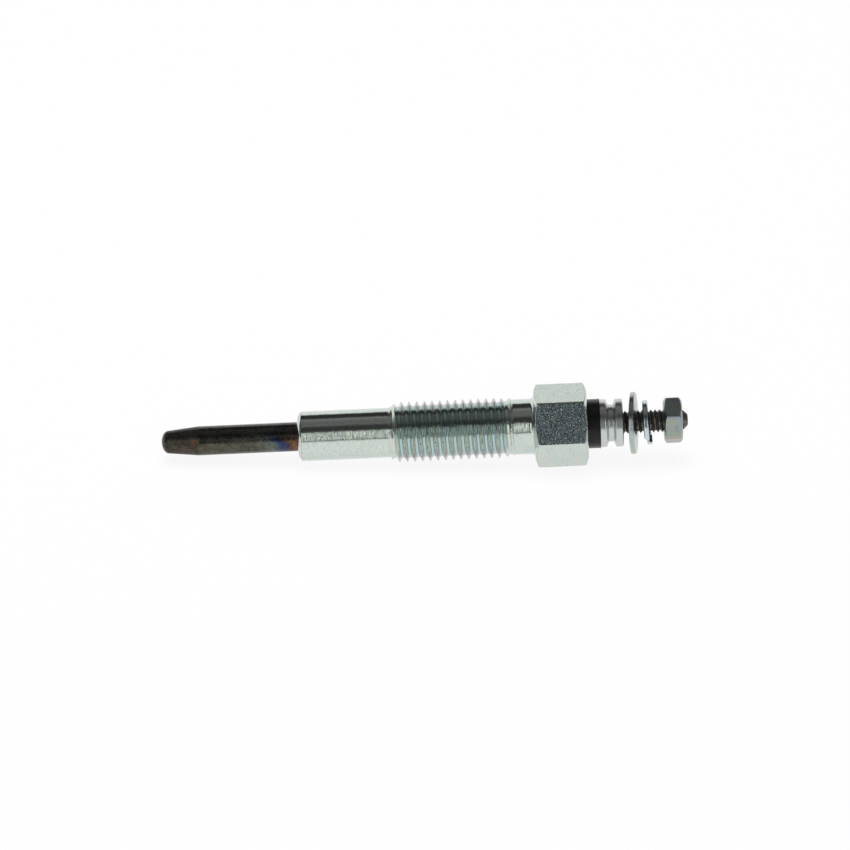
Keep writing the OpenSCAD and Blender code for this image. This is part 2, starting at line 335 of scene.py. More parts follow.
@dataclass(frozen=True)
class ZincPlating(Finish):
    """Clear zinc on the housing: lathe lines where it was turned, a fine grain on the drawn flats."""

    name: str = "clear_zinc"
    pale: Colour = (0.615, 0.665, 0.61)
    cool: Colour = (0.55, 0.645, 0.62)
    straw: Colour = (0.63, 0.65, 0.55)
    root: Colour = (0.42, 0.565, 0.585)
    flank: Colour = (0.745, 0.785, 0.705)
    amber: Colour = (0.72, 0.70, 0.52)
    crest: Colour = (0.50, 0.455, 0.455)
    rim_shade: Colour = (0.56, 0.53, 0.53)
    edge_line: Colour = (0.36, 0.34, 0.34)
    pit: Colour = (0.10, 0.11, 0.11)
    thread: Point = (14.6, 34.2)
    tinted: Point = (15.6, 32.8)
    thread_r: Point = (4.2, 4.9)
    hexagon: Point = (37.78, 46.4)
    face_r: float = 5.65
    chamfer: float = math.tan(math.radians(25))
    flat_r: float = 5.86
    lathe: Point = (0.05, 36.95)
    fore_end: float = 14.0
    lines_per_mm: float = 20.0
    relief_depth: float = 0.02

    def paint(self, graph: Graph) -> None:
        """Builds the nodes of the finish.

        Args:
            graph: Node tree of the material.
        """
        place = graph.place()
        x, y, z = graph.axes(place)
        radius = (y * y + z * z) ** 0.5
        root_r, crest_r = self.thread_r
        front, back = self.hexagon
        inside = (x - front).math("MINIMUM", back - x) - (radius - self.face_r) * self.chamfer
        past_flats = radius.ramp(self.flat_r, self.flat_r + 0.03)
        on_flats = past_flats * inside.ramp(0.0, 0.05)
        on_thread = x.between(*self.thread, 0.15)
        tinted = x.between(*self.tinted, 0.5)
        on_turned = x.between(*self.lathe, 0.1) * (1 - on_thread)
        on_fore = x.ramp(self.fore_end + 0.2, self.fore_end - 0.2)
        past_nose = x.ramp(-0.05, 0.1)
        on_edge = inside.between(0.03, 0.1, 0.03) * past_flats + x.between(-0.07, 0.03, 0.03)

        clouds = graph.noise(place, 0.5, 2.0)
        film = graph.noise(place, 0.8, 2.0, 0.6)
        grain = graph.noise(place, 5.5, 2.0)
        drawn = graph.noise(place, 6.0, 1.0)
        waves = graph.noise(place, 1.8, 2.0)
        mottle = graph.noise(place, 9.0, 1.0)
        stain = graph.noise(place, 3.8, 2.0)
        turned = graph.scaled(place, (1.0, 0.05, 0.05))
        feed = graph.noise(turned, self.lines_per_mm, 1.0)
        bands = graph.noise(turned, 4.0, 1.5)
        specks = graph.noise(place, 3.2, 1.0).ramp(0.66, 0.76)

        colour = graph.mix(clouds.ramp(0.35, 0.65) * 0.7, self.pale, self.cool)
        colour = graph.mix(film.ramp(0.5, 0.75) * 0.4, colour, self.straw)
        colour = graph.mix(tinted * 0.85, colour, self.root)
        flank = graph.mix(film.ramp(0.45, 0.65) * 0.8, self.flank, self.amber)
        colour = graph.mix(tinted * radius.ramp(root_r + 0.05, root_r + 0.28), colour, flank)
        on_crest = tinted * radius.ramp(crest_r - 0.24, crest_r - 0.06)
        height = graph.vector("DOT_PRODUCT", place, UPWARD, "Value")
        # Painted shade: the thread turns a darker, pinkish grey towards its top and bottom as seen from the
        # front, by height along UPWARD.
        on_rim_shade = tinted * abs(height).ramp(2.7, 3.9) * radius.ramp(root_r + 0.08, root_r + 0.3)
        colour = graph.mix(on_rim_shade * 0.9, colour, self.rim_shade)
        colour = graph.mix(on_crest * 0.6, colour, self.crest)
        worn = on_crest * graph.noise(place, 4.0, 2.0).ramp(0.5, 0.62) * 0.8
        flecks = on_flats * stain.ramp(0.58, 0.72) * 0.25
        colour = graph.mix(specks * 0.4 + worn + flecks, colour, self.pit)
        # Darker line along the edges between the hexagon's turned ends and its flats, and round the nose's
        # front edge.
        colour = graph.mix(on_edge * 0.7, colour, self.edge_line)
        colour = graph.shaded(colour, 1 + (stain - 0.5) * on_fore * 0.45)

        even = 1 + on_fore * (0.1 - bands.ramp(0.65, 0.35) * 0.12 - mottle.ramp(0.65, 0.35) * 0.2)
        lines = (feed - 0.5) * on_turned * even * 1.3
        relief = lines + grain * past_nose * 0.2 + drawn * on_flats * 1.25 + waves * on_thread * 2.4
        graph.surface(
            Base_Color=colour,
            Metallic=1.0,
            Roughness=0.09 + grain * 0.08 + on_thread * 0.06,
            Normal=graph.bump(relief, self.relief_depth),
        )


@dataclass(frozen=True)
class OxidisedSheath(Finish):
    """Heat-proof alloy, oxidised dark along the tube, with temper colours by the housing."""

    name: str = "oxidised_sheath"
    olive: Colour = (0.100, 0.098, 0.074)
    brown: Colour = (0.078, 0.066, 0.054)
    straw: Colour = (0.135, 0.15, 0.135)
    sky: Colour = (0.07, 0.11, 0.145)
    blue: Colour = (0.036, 0.055, 0.12)
    plum: Colour = (0.085, 0.06, 0.065)
    russet: Colour = (0.17, 0.09, 0.052)
    rust: Colour = (0.20, 0.085, 0.04)
    top_shade: Colour = (0.11, 0.105, 0.097)
    burnt: Colour = (0.105, 0.075, 0.055)
    cone_end: float = -16.8
    tint: Point = (-8.0, 0.0)
    smear: Triple = (-17.35, -2.0, 1.15)
    relief_depth: float = 0.02

    def paint(self, graph: Graph) -> None:
        """Builds the nodes of the finish.

        Args:
            graph: Node tree of the material.
        """
        place = graph.place()
        x, *_ = graph.axes(place)
        streaks = graph.noise(graph.scaled(place, (0.12, 1.0, 1.0)), 2.6, 4.0)
        mottle = graph.noise(place, 0.9, 3.0)
        patches = graph.noise(place, 0.55, 3.0, 0.4)
        specks = graph.noise(place, 3.4, 2.0)
        grain = graph.noise(place, 6.0, 2.0)

        first, last = self.tint
        height = graph.vector("DOT_PRODUCT", place, UPWARD, "Value")
        wander = (mottle - 0.5) * 1.1 + (streaks - 0.5) * 0.5
        bulge = height.ramp(-1.3, -0.1) * height.ramp(2.1, 0.6) * 1.5
        along = (x + wander + bulge - first) / (last - first)
        stops = [
            (0.0, self.olive),
            (0.3, self.straw),
            (0.46, self.straw),
            (0.53, self.sky),
            (0.60, self.blue),
            (0.66, self.blue),
            (0.74, self.plum),
            (0.84, self.russet),
            (1.0, self.russet),
        ]
        colour = graph.ramp(along, stops)
        on_cone = x.ramp(self.cone_end + 0.4, self.cone_end - 0.4)
        colour = graph.mix(on_cone, colour, self.brown)
        colour = graph.mix(patches.ramp(0.52, 0.68) * 0.6, colour, self.burnt)
        # Painted shade: the upper side as seen from the front, by height along UPWARD, turns a dull grey
        # that hides the temper colours.
        colour = graph.mix((height + (mottle - 0.5)).ramp(-0.6, 0.4) * 0.75, colour, self.top_shade)
        near = graph.vector("DISTANCE", place, self.smear, "Value")
        bars = graph.noise(graph.scaled(place, (1.0, 0.3, 0.3)), 4.0, 1.0).ramp(0.4, 0.55)
        smear = (near + (mottle - 0.5) * 1.6).ramp(0.8, 0.3) * (0.3 + bars * 0.7)
        colour = graph.mix(smear * 0.8, colour, self.rust)
        shade = 0.5 + streaks * 0.7 + (mottle - 0.5) * 1.1 + (specks - 0.5) * 1.5
        graph.surface(
            Base_Color=graph.shaded(colour, shade),
            Metallic=1.0,
            Roughness=0.18 + streaks * 0.14 + on_cone * 0.16,
            Normal=graph.bump(grain * 0.3 + streaks * 0.5 + specks * 1.3, self.relief_depth),
        )


@dataclass(frozen=True)
class BlackOxide(Finish):
    """Brown-black oxide on the terminal rod."""

    name: str = "black_oxide"
    dark: Colour = (0.095, 0.088, 0.080)
    worn: Colour = (0.27, 0.245, 0.21)

    def paint(self, graph: Graph) -> None:
        """Builds the nodes of the finish.

        Args:
            graph: Node tree of the material.
        """
        place = graph.place()
        wear = graph.noise(place, 2.2, 4.0)
        grain = graph.noise(place, 9.0, 2.0)
        graph.surface(
            Base_Color=graph.mix(wear.ramp(0.45, 0.75), self.dark, self.worn),
            Metallic=0.85,
            Roughness=0.34 + grain * 0.16,
            Normal=graph.bump(grain, 0.008),
        )


@dataclass(frozen=True)
class MouldedBlack(Finish):
    """Black moulding, with a faint bloom on a plastic or a dull skin on a rubber."""

    name: str
    base: Colour
    bloom: Colour
    roughness: float
    grain_depth: float

    def paint(self, graph: Graph) -> None:
        """Builds the nodes of the finish.

        Args:
            graph: Node tree of the material.
        """
        place = graph.place()
        bloom = graph.noise(place, 1.1, 3.0)
        grain = graph.noise(place, 8.0, 2.0)
        graph.surface(
            Base_Color=graph.mix(bloom.ramp(0.4, 0.8), self.base, self.bloom),
            Specular_IOR_Level=0.3,
            Roughness=self.roughness + grain * 0.14,
            Normal=graph.bump(grain, self.grain_depth),
        )


@dataclass(frozen=True)
class SealRubber(MouldedBlack):
    """Dull black rubber of the seals."""

    name: str = "seal_rubber"
    base: Colour = grey(0.022)
    bloom: Colour = (0.05, 0.05, 0.048)
    roughness: float = 0.55
    grain_depth: float = 0.02


@dataclass(frozen=True)
class TurnedMetal(Finish):
    """Bare metal with the fine lines that a lathe tool leaves round it."""

    name: str = "turned_metal"
    bright: Colour = (0.65, 0.68, 0.665)
    grey: Colour = (0.53, 0.555, 0.545)
    speck: Colour = (0.2, 0.2, 0.2)
    lines_per_mm: float = 9.0

    def paint(self, graph: Graph) -> None:
        """Builds the nodes of the finish.

        Args:
            graph: Node tree of the material.
        """
        place = graph.place()
        x, y, z = graph.axes(place)
        radius = (y * y + z * z) ** 0.5
        feed = graph.node("ShaderNodeCombineXYZ", inputs={0: x, 1: radius})
        lines = graph.noise(feed, self.lines_per_mm, 2.0)
        clouds = graph.noise(place, 0.9, 3.0)
        specks = graph.noise(place, 4.5, 1.0).ramp(0.7, 0.76)
        colour = graph.mix(clouds * 0.5 + lines * 0.5, self.bright, self.grey)
        graph.surface(
            Base_Color=graph.mix(specks * 0.5, colour, self.speck),
            Metallic=1.0,
            Roughness=0.2 + lines * 0.16,
            Normal=graph.bump(lines, 0.006),
        )


@dataclass(frozen=True)
class PlatedSteel(Finish):
    """Thin plating on a small pressed piece, with a faint play of colour, partly its own film and partly a
    painted glint that shifts with height.
    """

    name: str
    base: Colour
    tints: tuple[Colour, Colour, Colour]
    play: float
    roughness: float
    dull: Colour = grey(0.62)

    def paint(self, graph: Graph) -> None:
        """Builds the nodes of the finish.

        Args:
            graph: Node tree of the material.
        """
        place = graph.place()
        # Painted glint: the film's tints also shift with height, lilac at the top, cyan and yellow-green
        # lower down; the random part is the plating's own film.
        film = graph.noise(place, 0.6, 2.0, 0.8) + graph.axes(place)[2] * 0.04
        clouds = graph.noise(place, 1.3, 3.0)
        grain = graph.noise(place, 6.0, 3.0)
        first, second, third = self.tints
        rainbow = graph.ramp(film, [(0.3, first), (0.5, second), (0.7, third)])
        colour = graph.mix(self.play, self.base, rainbow)
        colour = graph.mix(clouds.ramp(0.5, 0.8) * 0.5, colour, self.dull, Blend.MULTIPLY)
        graph.surface(
            Base_Color=colour,
            Metallic=1.0,
            Roughness=self.roughness + grain * 0.12,
            Normal=graph.bump(grain, 0.012),
        )


@dataclass(frozen=True)
class DrawnWire(Finish):
    """Drawn resistance wire, streaked along its turns."""

    name: str
    base: Colour
    scale: Colour

    def paint(self, graph: Graph) -> None:
        """Builds the nodes of the finish.

        Args:
            graph: Node tree of the material.
        """
        place = graph.place()
        streaks = graph.noise(graph.scaled(place, (4.0, 1.0, 1.0)), 2.0, 3.0)
        graph.surface(
            Base_Color=graph.mix(streaks.ramp(0.4, 0.7), self.base, self.scale),
            Metallic=1.0,
            Roughness=0.3 + streaks * 0.2,
            Normal=graph.bump(streaks, 0.01),
        )


@dataclass(frozen=True)
class PackedPowder(Finish):
    """Packed white powder."""

    name: str = "packed_powder"
    white: Colour = (0.80, 0.79, 0.76)
    grey: Colour = (0.62, 0.61, 0.58)

    def paint(self, graph: Graph) -> None:
        """Builds the nodes of the finish.

        Args:
            graph: Node tree of the material.
        """
        place = graph.place()
        grain = graph.noise(place, 7.0, 4.0)
        graph.surface(
            Base_Color=graph.mix(grain, self.white, self.grey),
            Roughness=0.85 + grain * 0.1,
            Normal=graph.bump(grain, 0.03),
        )


@dataclass(frozen=True)
class PaleTable(Finish):
    """Table top that is white to the eye and to metal, and keeps a faint shadow."""

    name: str = "pale_table"
    white: float = 0.9
    glow: float = 0.9

    def paint(self, graph: Graph) -> None:
        """Builds the nodes of the finish.

        Args:
            graph: Node tree of the material.
        """
        paint = graph.node("ShaderNodeBsdfDiffuse", inputs={"Color": grey(self.white)})
        glow = graph.node("ShaderNodeEmission", inputs={"Color": grey(1.0), "Strength": 1.0})
        shown = graph.node("ShaderNodeMixShader", inputs={0: self.glow, 1: paint, 2: glow})
        rays = ("Is Camera Ray", "Is Glossy Ray", "Is Transmission Ray")
        camera, glossy, through = (graph.node("ShaderNodeLightPath", output=ray) for ray in rays)
        seen = camera.math("MAXIMUM", glossy).math("MAXIMUM", through)
        shader = graph.node("ShaderNodeMixShader", inputs={0: seen, 1: paint, 2: shown})
        graph.node("ShaderNodeOutputMaterial", inputs={"Surface": shader})


@dataclass(frozen=True)
class Corner:
    """Corner of an outline: its station, its radius from the axis, and the arc that rounds it."""

    x: float
    r: float
    fillet: float = 0.0


def rounded(corners: Sequence[Corner], steps: int = 4, hold: float = 0.05) -> list[Point]:
    """Outline with arcs at its corners.

    Args:
        corners: Corners in order; the first and the last are kept as they are.
        steps: Segments of each arc.
        hold: Distance of the points that keep the straight stretches flat beside an arc.

    Returns:
        Stations and radii along the outline.
    """
    points = [(corners[0].x, corners[0].r)]
    for before, corner, after in zip(corners, corners[1:], corners[2:]):
        if corner.fillet == 0:
            points.append((corner.x, corner.r))
            continue
        apex = Vector((corner.x, corner.r))
        back = Vector((before.x, before.r)) - apex
        ahead = Vector((after.x, after.r)) - apex
        half = back.angle(ahead) / 2
        reach = min(corner.fillet / math.tan(half), ARC_SHARE * back.length, ARC_SHARE * ahead.length)
        back.normalize()
        ahead.normalize()
        spare = min(hold, reach)
        centre = apex + (back + ahead).normalized() * (reach / math.cos(half))
        start = apex + back * reach - centre
        turn = start.angle_signed(apex + ahead * reach - centre)
        arc = [centre + Matrix.Rotation(-turn * i / steps, 2) @ start for i in range(steps + 1)]
        arc = [apex + back * (reach + spare), *arc, apex + ahead * (reach + spare)]
        points.extend((p.x, p.y) for p in arc)
    points.append((corners[-1].x, corners[-1].r))
    return points


def arc_between(start: Point, end: Point, radius: float, steps: int) -> list[Point]:
    """Arc from one point of an outline to another, on the outer side of their chord.

    Args:
        start: Station and radius of the first point.
        end: Station and radius of the last point.
        radius: Radius of the arc.
        steps: Segments of the arc.

    Returns:
        Points of the arc, with both ends.
    """
    first, last = Vector(start), Vector(end)
    chord = last - first
    half = chord.length / 2
    inward = Vector((chord.y, -chord.x)).normalized()
    centre = (first + last) / 2 + inward * math.sqrt(radius**2 - half**2)
    turn = 2 * math.asin(half / radius)
    points = [centre + Matrix.Rotation(-turn * i / steps, 2) @ (first - centre) for i in range(steps + 1)]
    return [(point.x, point.y) for point in points]


def even_angles(count: int) -> list[float]:
    """Angles spaced evenly over a full turn."""
    return [FULL_TURN * i / count for i in range(count)]


def table_value(table: Sequence[Point], x: float) -> float:
    """Value on straight lines between the points of a table.

    Args:
        table: Stations and values, in rising order.
        x: Station; before the first and after the last, their values hold.

    Returns:
        The value at the station.
    """
    if x <= table[0][0]:
        return table[0][1]
    for (x0, v0), (x1, v1) in zip(table, table[1:]):
        if x <= x1:
            return v0 + (v1 - v0) * (x - x0) / (x1 - x0)
    return table[-1][1]


def front_of(node: str) -> float:
    """Station of a solid's front end, in millimetres."""
    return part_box(node)[0][0] / MM


def back_of(node: str) -> float:
    """Station of a solid's back end, in millimetres."""
    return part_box(node)[1][0] / MM


def width_of(node: str) -> float:
    """Width of a solid across the axis, in millimetres."""
    low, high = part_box(node)
    return (high[1] - low[1]) / MM


class Shell:
    """Closed mesh that grows row by row."""

    SHARP = math.radians(38)
    WELD = 1e-6

    def __init__(self, name: str, angles: Sequence[float] = ()) -> None:
        """Starts an empty mesh.

        Args:
            name: Name of the piece.
            angles: Angles of its rings about the X axis.
        """
        self.name = name
        self.angles = list(angles)
        self.mesh = bmesh.new()
        self.last: list[bmesh.types.BMVert] = []
        self.first: list[bmesh.types.BMVert] = []

    def row(self, points: Sequence[Vector]) -> list[bmesh.types.BMVert]:
        """Adds the vertices of a row, given in millimetres."""
        return [self.mesh.verts.new(point * MM) for point in points]

    def face(self, corners: Sequence[bmesh.types.BMVert]) -> None:
        """Adds one face."""
        self.mesh.faces.new(corners)

    def join(self, first: Sequence[bmesh.types.BMVert], second: Sequence[bmesh.types.BMVert]) -> None:
        """Joins two closed rows of the same length.

        Args:
            first: Row on one side of the new faces.
            second: Row on the other side.
        """
        count = len(first)
        for j in range(count):
            k = (j + 1) % count
            self.face((first[j], first[k], second[k], second[j]))

    def ring(self, shape: Callable[[float], Point]) -> None:
        """Adds a ring and joins it to the last one.

        Args:
            shape: Station and radius at an angle about the axis.
        """
        points = []
        for angle in self.angles:
            x, r = shape(angle)
            points.append(Vector((x, r * math.cos(angle), r * math.sin(angle))))
        self.follow(self.row(points))

    def follow(self, row: list[bmesh.types.BMVert]) -> None:
        """Joins a row to the last one and makes it the last.

        Args:
            row: Vertices of the new row.
        """
        if self.last:
            self.join(self.last, row)
        else:
            self.first = row
        self.last = row

    def turned(self, outline: Sequence[Point]) -> None:
        """Adds a plain ring for each point of an outline."""
        for point in outline:
            self.ring(lambda angle, point=point: point)

    def tip(self, row: Sequence[bmesh.types.BMVert], point: Vector) -> None:
        """Closes a row to one point.

        Args:
            row: Row to close.
            point: Place of the point, in millimetres.
        """
        apex = self.mesh.verts.new(point * MM)
        for a, b in zip(row, [*row[1:], row[0]]):
            self.face((a, b, apex))

    def loop(self) -> None:
        """Joins the last ring to the first."""
        self.join(self.last, self.first)

    def thread(self, thread: "Thread") -> None:
        """Adds a screw thread as a helical grid between two plain rings.

        Args:
            thread: Form and place of the thread.
        """
        stations = thread.stations()
        heights = thread.heights()
        turn_rows = len(heights)
        rows = []
        for i, station in enumerate(stations):
            points = []
            for angle in self.angles:
                x = min(max(station + thread.pitch * angle / FULL_TURN, thread.start), thread.end)
                r = thread.radius(x, heights[i % turn_rows])
                points.append(Vector((x, r * math.cos(angle), r * math.sin(angle))))
            rows.append(self.row(points))
        self.follow(rows[0])
        last = len(rows) - 1
        for i in range(last):
            next_row, far_row, far_next = i + 1, min(i + turn_rows, last), min(i + 1 + turn_rows, last)
            ahead = [*rows[i][1:], rows[far_row][0]]
            ahead_next = [*rows[next_row][1:], rows[far_next][0]]
            for quad in zip(rows[i], ahead, ahead_next, rows[next_row]):
                if len(set(quad)) == 4:
                    self.face(quad)
        self.last = rows[last]

    def finish(self) -> bpy.types.Object:
        """Welds the mesh, marks its sharp edges and makes the object.

        Returns:
            The object, linked to the scene.
        """
        mesh = self.mesh
        bmesh.ops.remove_doubles(mesh, verts=mesh.verts, dist=self.WELD)
        bmesh.ops.dissolve_degenerate(mesh, edges=mesh.edges, dist=self.WELD)
        bmesh.ops.recalc_face_normals(mesh, faces=mesh.faces)
        for item in mesh.faces:
            item.smooth = True
        for edge in mesh.edges:
            edge.smooth = len(edge.link_faces) == 2 and edge.calc_face_angle() < self.SHARP
        data = bpy.data.meshes.new(self.name)
        mesh.to_mesh(data)
        mesh.free()
        piece = bpy.data.objects.new(self.name, data)
        bpy.context.scene.collection.objects.link(piece)
        return piece


@dataclass(frozen=True)
class Thread:
    """Right-hand screw thread about the X axis."""

    pitch: float
    start: float
    end: float
    phase: float
    crest: Sequence[Point]
    root: Sequence[Point]
    crest_flat: float = 0.06
    root_flat: float = 0.3
    crest_round: float = 0.03
    root_round: float = 0.12

    def profile(self) -> list[Point]:
        """One pitch of the thread, from root to root.

        Returns:
            Points as shares of the pitch and of the depth.
        """
        depth = max(r for _, r in self.crest) - min(r for _, r in self.root)
        half_crest = self.crest_flat * self.pitch / 2
        half_root = self.pitch / 2 - self.root_flat * self.pitch / 2
        corners = [
            Corner(-self.pitch / 2, 0),
            Corner(-half_root, 0, self.root_round),
            Corner(-half_crest, depth, self.crest_round),
            Corner(half_crest, depth, self.crest_round),
            Corner(half_root, 0, self.root_round),
            Corner(self.pitch / 2, 0),
        ]
        points = rounded(corners, steps=2, hold=0.02)
        return [(x / self.pitch, r / depth) for x, r in points[:-1]]

    def heights(self) -> list[float]:
        """Heights of the rows of one pitch, as shares of the depth."""
        return [height for _, height in self.profile()]

    def stations(self) -> list[float]:
        """Stations of all rows at the angle 0.

        Returns:
            Stations from a turn before the thread's start to a turn past its end.
        """
        first = math.floor((self.start - self.phase) / self.pitch) - 1
        last = math.ceil((self.end - self.phase) / self.pitch) + 1
        return [
            self.phase + (turn + share) * self.pitch
            for turn in range(first, last + 1)
            for share, _ in self.profile()
        ]

    def radius(self, x: float, height: float) -> float:
        """Radius at a station, for a height on the profile."""
        root = table_value(self.root, x)
        return root + (table_value(self.crest, x) - root) * height


@dataclass(frozen=True)
class Hexagon:
    """Hexagon about the X axis, with rounded corners and ends that are turned to a face and a chamfer."""

    flats: float
    over_r: float
    front: float
    back: float
    face_r: float
    chamfer: float
    end_round: float
    corner_round: float
    edge: float
    turn: float = 0.0

    def angles(self, between: int) -> list[float]:
        """Angles of the rings: close together at the corners, spread over the flats.

        Args:
            between: Steps across each flat.

        Returns:
            Angles in rising order.
        """
        edge = self.arc_half()
        hold = edge * 1.4
        corner = [-hold, -edge, -edge * 2 / 3, -edge / 3, 0, edge / 3, edge * 2 / 3, edge]
        flat = [hold + (SIXTH - 2 * hold) * i / between for i in range(between)]
        turns = [self.turn + SIXTH * side for side in range(6)]
        return sorted((turn + a) % FULL_TURN for turn in turns for a in [*corner, *flat])

    def arc_half(self) -> float:
        """Half of the angle that a rounded corner takes up, seen from the axis."""
        half = self.flats / 2
        return math.pi / 6 - math.atan((half - self.corner_round) * math.tan(math.pi / 6) / half)

    def radius(self, angle: float) -> float:
        """Radius of the hexagon.

        Args:
            angle: Angle about the axis.

        Returns:
            Distance of the flat or the rounded corner from the axis.
        """
        off = (angle - self.turn + SIXTH / 2) % SIXTH - SIXTH / 2
        if abs(off) >= self.arc_half():
            return self.flats / 2 / math.cos(SIXTH / 2 - abs(off))
        centre = (self.flats / 2 - self.corner_round) / math.cos(SIXTH / 2)
        return centre * math.cos(off) + math.sqrt(self.corner_round**2 - (centre * math.sin(off)) ** 2)

    def run(self, r: float) -> float:
        """Form of a turned end.

        Args:
            r: Distance from the axis.

        Returns:
            Distance of the end from the plane of its face.
        """
        hub = self.over_r - self.end_round
        slope = math.tan(self.chamfer)
        if r < hub + self.end_round * math.sin(self.chamfer):
            return (r - self.face_r) * slope
        centre = (hub - self.face_r) * slope + self.end_round / math.cos(self.chamfer)
        return centre - math.sqrt(self.end_round**2 - min(r - hub, self.end_round) ** 2)

    def end_rings(self, shell: Shell, side: int) -> None:
        """Adds the rings between a turned face and the flats.

        Args:
            shell: Mesh that grows.
            side: 1 at the front, from the face out to the flats; -1 at the back, the other way.
        """
        face = self.front if side > 0 else self.back
        spans = [0.0, 0.35, 0.7]
        offsets = [(2.0, 0.0), (1.0, 0.0), (0.45, 0.12), (0.12, 0.45), (0.0, 1.0), (0.0, 2.0)]

        def spanned(angle: float, share: float) -> Point:
            """Point of the turned end, as a share of the way from the face to the edge."""
            r = self.face_r + (self.radius(angle) - 2 * self.edge - self.face_r) * share
            return face + side * self.run(r), r

        def offset(angle: float, inward: float, along: float) -> Point:
            """Point set off from the edge between the turned end and the flat."""
            r = self.radius(angle) - inward * self.edge
            return face + side * (self.run(r) + along * self.edge), r

        rings = [lambda angle, s=share: spanned(angle, s) for share in spans]
        rings += [lambda angle, i=inward, a=along: offset(angle, i, a) for inward, along in offsets]
        for shape in rings[::side]:
            shell.ring(shape)


class Assembly:
    """Group of pieces that are built and dressed together."""

    def pieces(self) -> list[bpy.types.Object]:
        """Builds the pieces of the group."""
        raise NotImplementedError

    @staticmethod
    def dress(piece: bpy.types.Object, node: str, slot: Slot, finish: Finish) -> bpy.types.Object:
        """Gives a new piece its finish and its place in the frame.

        Args:
            piece: Piece that was built over a solid.
            node: Solid that the piece stands for.
            slot: Material slot of the record; not used.
            finish: Finish of the piece.

        Returns:
            The piece.
        """
        piece.data.materials.append(finish.material())
        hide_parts(node)
        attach(piece, "root")
        return piece

    @staticmethod
    def coat(node: str, slot: Slot, finish: Finish) -> bpy.types.Object:
        """Gives a solid that stays as it is a detailed finish.

        Args:
            node: Solid.
            slot: Material slot of the record; not used.
            finish: Finish of the solid.

        Returns:
            The solid.
        """
        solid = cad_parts[node]
        solid.data.materials.clear()
        solid.data.materials.append(finish.material())
        return solid

    @staticmethod
    def lathe(name: str, sides: int, outline: Sequence[Point]) -> bpy.types.Object:
        """Builds a ring about the X axis.

        Args:
            name: Name of the piece.
            sides: Number of sides about the axis.
            outline: Stations and radii once round the ring's section.

        Returns:
            The piece, without a finish.
        """
        shell = Shell(name, even_angles(sides))
        shell.turned(outline)
        shell.loop()
        return shell.finish()


@dataclass
class Body(Assembly):
    """Steel housing: sealing cone, fore-body, thread, neck, hexagon and the bore through them."""

    hexagon: Hexagon = Hexagon(
        flats=11.8,
        over_r=6.75,
        front=37.78,
        back=back_of("housing"),
        face_r=5.65,
        chamfer=math.radians(25),
        end_round=0.3,
        corner_round=0.4,
        edge=0.07,
    )
    flat_steps: int = 13
    nose_x: float = front_of("housing")
    nose_r: float = 3.075
    nose_swell: float = 1.6
    fore_r: float = 4.05
    thread_pitch: float = 1.25
    thread_start: float = 14.25
    thread_end: float = 34.5
    thread_phase: float = 16.13
    crest_r: float = 4.9
    root_r: float = 4.2
    neck_r: float = 4.5
    neck_fillet: float = 0.75
    counterbore_r: float = 3.2
    counterbore_x: float = 40.4
    bore_r: float = 2.6
    tube_hole_r: float = 2.385
    tube_hole_end: float = 18.01

    def screw(self) -> Thread:
        """Main thread: low first crests, and roots that run out into the neck.

        Returns:
            The thread.
        """
        start, end = self.thread_start, self.thread_end
        crest = [
            (start, self.fore_r),
            (start + 0.3, self.crest_r - 0.43),
            (start + 0.85, self.crest_r - 0.25),
            (start + 1.3, self.crest_r - 0.06),
            (start + 2.0, self.crest_r),
            (end - 2.5, self.crest_r),
            (end - 1.5, self.crest_r - 0.08),
            (end - 0.3, self.crest_r - 0.2),
            (end, self.neck_r),
        ]
        root = [
            (start, self.fore_r),
            (start + 0.3, self.root_r),
            (end - 2.0, self.root_r),
            (end - 0.2, self.neck_r - 0.03),
            (end, self.neck_r),
        ]
        return Thread(self.thread_pitch, start, end, self.thread_phase, crest, root)

    def pieces(self) -> list[bpy.types.Object]:
        """Builds the housing as one closed mesh.

        Returns:
            The housing.
        """
        hexagon = self.hexagon
        shell = Shell("plated_housing", hexagon.angles(self.flat_steps))
        swell = arc_between((self.nose_x, self.nose_r), (0, self.fore_r), self.nose_swell, 8)
        nose = [
            Corner(self.nose_x, self.tube_hole_r),
            Corner(self.nose_x, self.nose_r, 0.06),
            *(Corner(x, r) for x, r in swell[1:-1]),
            Corner(0, self.fore_r, 0.08),
            Corner(self.thread_start - 0.3, self.fore_r),
        ]
        shell.turned(rounded(nose))
        shell.thread(self.screw())
        neck = [
            Corner(self.thread_end + 0.05, self.neck_r),
            Corner(hexagon.front, self.neck_r, self.neck_fillet),
            Corner(hexagon.front, self.neck_r + 2 * self.neck_fillet),
        ]
        shell.turned(rounded(neck, steps=8, hold=0.01)[:-1])
        hexagon.end_rings(shell, 1)
        hexagon.end_rings(shell, -1)
        bore = [
            Corner(hexagon.back, hexagon.face_r - 0.2),
            Corner(hexagon.back, self.counterbore_r, 0.1),
            Corner(self.counterbore_x, self.counterbore_r),
            Corner(self.counterbore_x, self.bore_r),
            Corner(self.tube_hole_end, self.bore_r),
            Corner(self.tube_hole_end, self.tube_hole_r),
        ]
        shell.turned(rounded(bore))
        shell.loop()
        return [self.dress(shell.finish(), "housing", Slot.ZINC_BODY, ZincPlating())]


